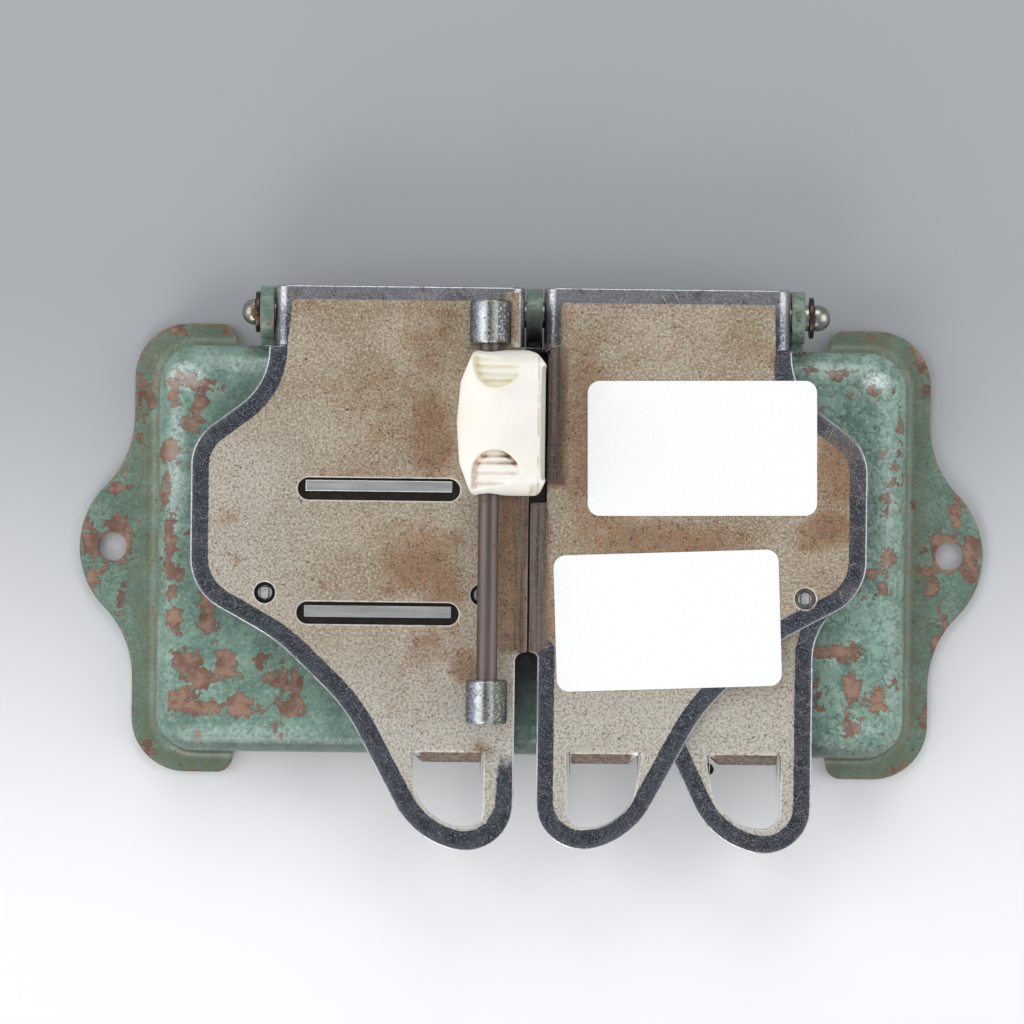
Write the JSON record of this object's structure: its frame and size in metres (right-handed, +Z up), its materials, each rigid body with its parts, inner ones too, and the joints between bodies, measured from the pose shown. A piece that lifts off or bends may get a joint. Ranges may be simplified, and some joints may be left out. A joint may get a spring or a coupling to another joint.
{
  "type": "film splicer",
  "caption": "Cement splicer for narrow cine film: a pressed base, hinged clamp plates over a fixed and a hinged bed, and a scraper that slides on a rod.",
  "frame": {"origin": "midway between the two ear screw holes, on the underside of the base", "axes": "+X along the film path, +Y to the hinge at the back, +Z up; the finger loops point to -Y"},
  "size_m": [0.1294, 0.0796, 0.0222],
  "materials": {
    "green_hammertone": "hammered, worn at edges",
    "plate_steel": "satin with a polished rim",
    "rod_steel": "drawn, bright",
    "spring_steel": "tempered",
    "chrome": "plated",
    "ivory_plastic": "moulded, satin gloss",
    "hardened_steel": "ground",
    "rivet_steel": "plain",
    "blackened_steel": "blackened"
  },
  "bodies": {
    "base": {"base_pan": "green_hammertone", "hinge_bracket": "green_hammertone", "hinge_bracket_rivets": "rivet_steel", "hinge_rod": "rod_steel", "retaining_clip_left": "spring_steel", "retaining_clip_right": "spring_steel", "rest_pads_right": "rivet_steel", "left_lower_plate": "plate_steel", "left_plate_spacers": "rivet_steel", "left_plate_rivets": "rivet_steel", "left_guide_bar_rear": "plate_steel", "left_guide_bar_front": "plate_steel", "left_film_pins": "hardened_steel"},
    "left_clamp": {"left_upper_plate": "plate_steel", "scraper_rod": "rod_steel", "rod_bracket_rear": "chrome", "rod_bracket_front": "chrome"},
    "scraper_slider": {"scraper_carrier": "rod_steel", "carrier_leaf_spring": "spring_steel"},
    "scraper_cap": {"scraper_handle": "ivory_plastic", "scraper_blade": "hardened_steel", "blade_pin": "hardened_steel"},
    "hinged_bed": {"right_lower_plate": "plate_steel", "lower_plate_stop": "blackened_steel", "right_guide_bar_rear": "plate_steel", "right_guide_bar_front": "plate_steel", "right_film_pins": "hardened_steel"},
    "right_clamp": {"right_upper_plate": "plate_steel"}
  },
  "joints": [
    {"name": "left_clamp_hinge", "type": "hinge", "parent": "base", "child": "left_clamp", "pos_m": [0, 0.0336, 0.0085], "axis": [-1, 0, 0], "range_deg": [0, 100]},
    {"name": "scraper_travel", "type": "slide", "parent": "left_clamp", "child": "scraper_slider", "axis": [0, -1, 0], "range_m": [0, 0.0245]},
    {"name": "handle_rock", "type": "hinge", "parent": "scraper_slider", "child": "scraper_cap", "pos_m": [-0.0061, 0.0181, 0.016], "axis": [0, 1, 0], "range_deg": [0, 14], "stiffness_Nm_per_rad": 0.01, "springref_deg": -28.65},
    {"name": "hinged_bed_hinge", "type": "hinge", "parent": "base", "child": "hinged_bed", "pos_m": [0, 0.0336, 0.0085], "axis": [-1, 0, 0], "range_deg": [0, 95]},
    {"name": "right_clamp_hinge", "type": "hinge", "parent": "hinged_bed", "child": "right_clamp", "pos_m": [0, 0.0336, 0.0085], "axis": [-1, 0, 0], "range_deg": [0, 70]}
  ]
}
